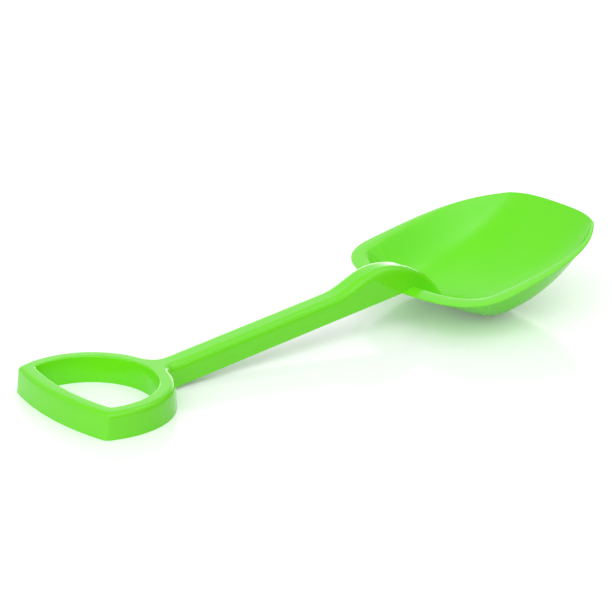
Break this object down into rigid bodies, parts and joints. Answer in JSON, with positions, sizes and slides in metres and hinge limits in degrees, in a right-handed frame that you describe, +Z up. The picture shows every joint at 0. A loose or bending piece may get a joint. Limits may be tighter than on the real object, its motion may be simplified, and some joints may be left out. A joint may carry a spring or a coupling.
{
  "type": "sand shovel",
  "caption": "Glossy moulded sand shovel with a D-shaped hand grip, an open-backed channel shaft, a humped neck and a dished scoop with a flat lip, for digging and carrying sand.",
  "frame": {"origin": "middle of the length and width, on the floor that the shovel lies on", "axes": "+X from the hand grip to the cutting edge, +Y to the left, +Z up from the floor"},
  "size_m": [0.4014, 0.1414, 0.053],
  "materials": {
    "green_plastic": "glossy injection-moulded polypropylene"
  },
  "bodies": {
    "root": {"grip_bar": "green_plastic", "grip_left": "green_plastic", "grip_right": "green_plastic", "grip_throat": "green_plastic", "shaft": "green_plastic", "neck": "green_plastic", "scoop_bowl": "green_plastic", "lip_left": "green_plastic", "lip_right": "green_plastic"}
  },
  "joints": []
}
